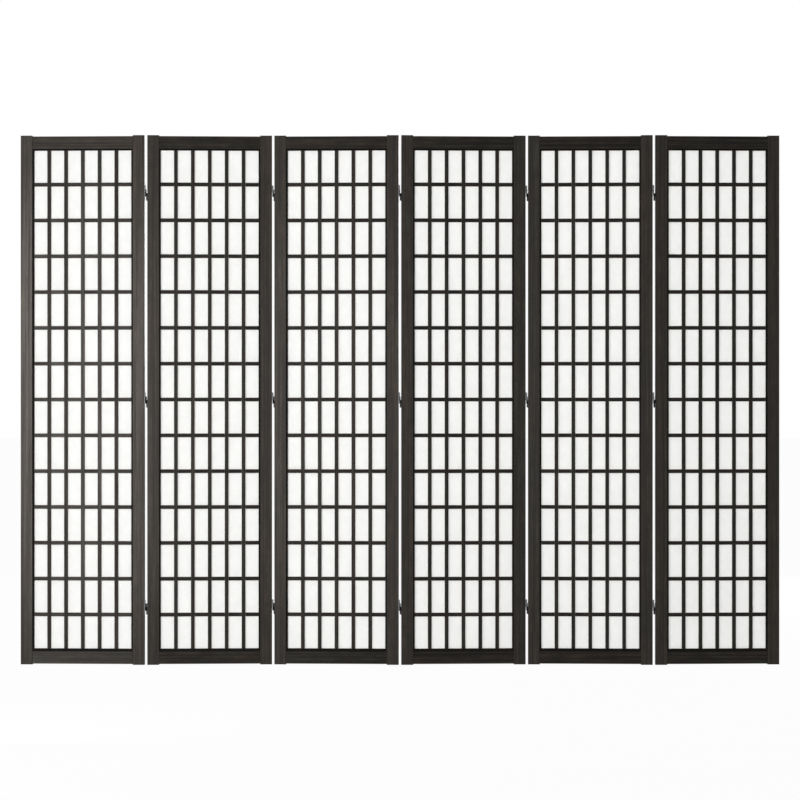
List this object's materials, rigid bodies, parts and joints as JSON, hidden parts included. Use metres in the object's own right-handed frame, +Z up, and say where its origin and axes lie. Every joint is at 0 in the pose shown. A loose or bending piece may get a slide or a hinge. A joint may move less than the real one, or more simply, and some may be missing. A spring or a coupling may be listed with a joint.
{
  "type": "shoji folding screen",
  "caption": "Free-standing folding screen of dark-stained wooden panels with a square lattice over white translucent paper, joined by two-way hinges.",
  "frame": {"origin": "on the floor, under the middle of the screen's box at rest", "axes": "+X along the screen, from the first panel to the last; +Y away from the viewer, to the paper's side; +Z up"},
  "size_m": [2.4388, 0.0514, 1.7],
  "materials": {
    "frame_wood": "matte charcoal stain over straight grain",
    "lattice_wood": "matte charcoal stain over straight grain",
    "shoji_paper": "matte translucent fibre paper",
    "hinge_steel": "dark satin coating"
  },
  "bodies": {
    "panel_1": {"panel_1_left_stile": "frame_wood", "panel_1_right_stile": "frame_wood", "panel_1_top_rail": "frame_wood", "panel_1_bottom_rail": "frame_wood", "panel_1_lattice": "lattice_wood", "panel_1_paper": "shoji_paper", "seam_1_lower_link": "hinge_steel", "seam_1_middle_link": "hinge_steel", "seam_1_upper_link": "hinge_steel"},
    "panel_2": {"panel_2_left_stile": "frame_wood", "panel_2_right_stile": "frame_wood", "panel_2_top_rail": "frame_wood", "panel_2_bottom_rail": "frame_wood", "panel_2_lattice": "lattice_wood", "panel_2_paper": "shoji_paper"},
    "panel_3": {"panel_3_left_stile": "frame_wood", "panel_3_right_stile": "frame_wood", "panel_3_top_rail": "frame_wood", "panel_3_bottom_rail": "frame_wood", "panel_3_lattice": "lattice_wood", "panel_3_paper": "shoji_paper", "seam_2_lower_link": "hinge_steel", "seam_2_middle_link": "hinge_steel", "seam_2_upper_link": "hinge_steel", "seam_3_lower_link": "hinge_steel", "seam_3_middle_link": "hinge_steel", "seam_3_upper_link": "hinge_steel"},
    "panel_4": {"panel_4_left_stile": "frame_wood", "panel_4_right_stile": "frame_wood", "panel_4_top_rail": "frame_wood", "panel_4_bottom_rail": "frame_wood", "panel_4_lattice": "lattice_wood", "panel_4_paper": "shoji_paper"},
    "panel_5": {"panel_5_left_stile": "frame_wood", "panel_5_right_stile": "frame_wood", "panel_5_top_rail": "frame_wood", "panel_5_bottom_rail": "frame_wood", "panel_5_lattice": "lattice_wood", "panel_5_paper": "shoji_paper", "seam_4_lower_link": "hinge_steel", "seam_4_middle_link": "hinge_steel", "seam_4_upper_link": "hinge_steel", "seam_5_lower_link": "hinge_steel", "seam_5_middle_link": "hinge_steel", "seam_5_upper_link": "hinge_steel"},
    "panel_6": {"panel_6_left_stile": "frame_wood", "panel_6_right_stile": "frame_wood", "panel_6_top_rail": "frame_wood", "panel_6_bottom_rail": "frame_wood", "panel_6_lattice": "lattice_wood", "panel_6_paper": "shoji_paper"}
  },
  "joints": [
    {"name": "seam_1_fold", "type": "hinge", "parent": "panel_1", "child": "panel_2", "pos_m": [-0.8134, 0.00186, 0.85], "axis": [0, 0, 1], "range_deg": [-6, 172]},
    {"name": "seam_2_fold", "type": "hinge", "parent": "panel_2", "child": "panel_3", "pos_m": [-0.4097, -0.00102, 0.85], "axis": [0, 0, -1], "range_deg": [-6, 172]},
    {"name": "seam_3_fold", "type": "hinge", "parent": "panel_3", "child": "panel_4", "pos_m": [0.002, 0.00144, 0.85], "axis": [0, 0, 1], "range_deg": [-6, 172]},
    {"name": "seam_4_fold", "type": "hinge", "parent": "panel_4", "child": "panel_5", "pos_m": [0.4057, -0.00144, 0.85], "axis": [0, 0, -1], "range_deg": [-6, 172]},
    {"name": "seam_5_fold", "type": "hinge", "parent": "panel_5", "child": "panel_6", "pos_m": [0.81739, 0.00102, 0.85], "axis": [0, 0, 1], "range_deg": [-6, 172]}
  ]
}
